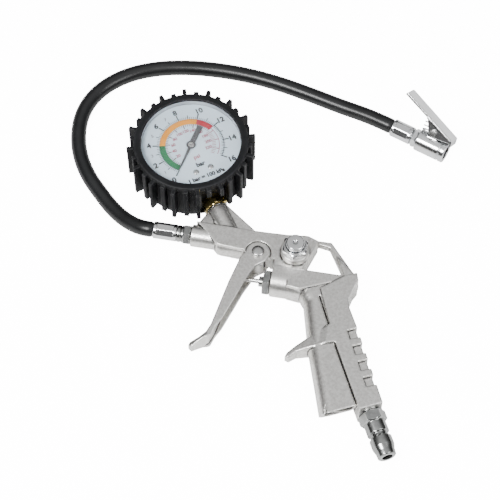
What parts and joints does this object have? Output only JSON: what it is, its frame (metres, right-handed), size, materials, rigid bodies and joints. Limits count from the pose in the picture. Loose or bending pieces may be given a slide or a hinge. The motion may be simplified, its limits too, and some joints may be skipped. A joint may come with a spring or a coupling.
{
  "type": "tyre inflator with gauge",
  "caption": "Hand-held pistol tyre inflator with a round dial gauge, trigger, deflation button, inlet plug and a short hose with a clip-on chuck.",
  "frame": {"origin": "middle of the gun's and gauge's footprint, on the surface that the inflator lies on", "axes": "+Z out of the gauge face, +X along the barrel towards the hand, +Y from the grip towards the gauge"},
  "size_m": [0.2381, 0.2542, 0.032],
  "materials": {
    "cast_body": "light grey satin die cast aluminium",
    "plated_pin": "nickel plated steel",
    "spring_steel": "bright spring steel",
    "grey_steel": "grey steel, turned",
    "seal_rubber": "black nitrile rubber",
    "brass": "yellow brass, turned",
    "chrome_plate": "polished chrome plate",
    "boot_rubber": "matt black moulded rubber",
    "case_paint": "black enamelled steel",
    "lens_glass": "clear pane",
    "dial_enamel": "pale blue white dial with printed scales",
    "pointer_paint": "dark grey matt",
    "hose_rubber": "black rubber, slight sheen",
    "chuck_rubber": "red brown rubber gasket"
  },
  "bodies": {
    "gun": {"body_casting": "cast_body", "trigger_pin": "plated_pin", "pin_clip": "spring_steel", "gland_nut": "grey_steel", "gland_seal": "seal_rubber", "valve_seat": "brass", "valve_spring": "spring_steel", "bleed_nut": "chrome_plate", "bleed_spring": "spring_steel", "inlet_plug": "grey_steel", "inlet_washer": "grey_steel", "gauge_boot": "boot_rubber", "gauge_case": "case_paint", "gauge_lens": "lens_glass", "dial_plate": "dial_enamel", "dial_screw_left": "spring_steel", "dial_screw_right": "spring_steel", "gauge_connector": "brass", "gauge_washer": "grey_steel", "bourdon_tube": "brass", "movement_back_plate": "brass", "movement_front_plate": "brass", "movement_post_left": "brass", "movement_post_right": "brass", "hose_nipple": "grey_steel", "hose_ferrule": "chrome_plate", "hose": "hose_rubber", "chuck_ferrule": "chrome_plate", "chuck_nipple": "chrome_plate", "chuck_body": "chrome_plate", "chuck_core_pin": "spring_steel", "chuck_seal": "chuck_rubber", "lever_pin": "plated_pin", "lever_spring": "spring_steel"},
    "trigger": {"trigger": "cast_body"},
    "push_pin": {"push_pin": "spring_steel", "poppet_seal": "seal_rubber"},
    "bleed_button": {"bleed_button": "chrome_plate", "bleed_seal": "seal_rubber"},
    "sector": {"sector_gear": "brass", "movement_link": "brass"},
    "pointer": {"pointer": "pointer_paint", "pinion_arbor": "spring_steel"},
    "chuck_lever": {"chuck_lever": "chrome_plate"}
  },
  "joints": [
    {"name": "trigger_pull", "type": "hinge", "parent": "gun", "child": "trigger", "pos_m": [-0.00304, 0.00707, 0.011], "axis": [0, 0, 1], "range_deg": [0, 11], "stiffness_Nm_per_rad": 0.5, "springref_deg": -11.46},
    {"name": "push_pin_slide", "type": "slide", "parent": "gun", "child": "push_pin", "axis": [1, 0, 0], "range_m": [0, 0.0033], "deforming": ["valve_spring"]},
    {"name": "bleed_press", "type": "slide", "parent": "gun", "child": "bleed_button", "axis": [0, 0, -1], "range_m": [0, 0.002], "stiffness_N_per_m": 1500, "springref_m": -0.002, "deforming": ["bleed_spring"]},
    {"name": "sector_swing", "type": "hinge", "parent": "gun", "child": "sector", "pos_m": [-0.04758, 0.05786, 0.011], "axis": [0, 0, 1], "range_deg": [0, 38.5], "stiffness_Nm_per_rad": 0.002},
    {"name": "pointer_sweep", "type": "hinge", "parent": "gun", "child": "pointer", "pos_m": [-0.05474, 0.06847, 0.0267], "axis": [0, 0, -1], "range_deg": [0, 270]},
    {"name": "lever_squeeze", "type": "hinge", "parent": "gun", "child": "chuck_lever", "pos_m": [0.08986, 0.11299, 0.01428], "axis": [-0.2683, -0.7175, 0.6428], "range_deg": [0, 18], "stiffness_Nm_per_rad": 0.3, "springref_deg": -8.59, "deforming": ["lever_spring"]}
  ],
  "couplings": [
    {"joint": "push_pin_slide", "follows": "trigger_pull", "m_per_rad": 0.0165},
    {"joint": "pointer_sweep", "follows": "sector_swing", "ratio": 7}
  ]
}
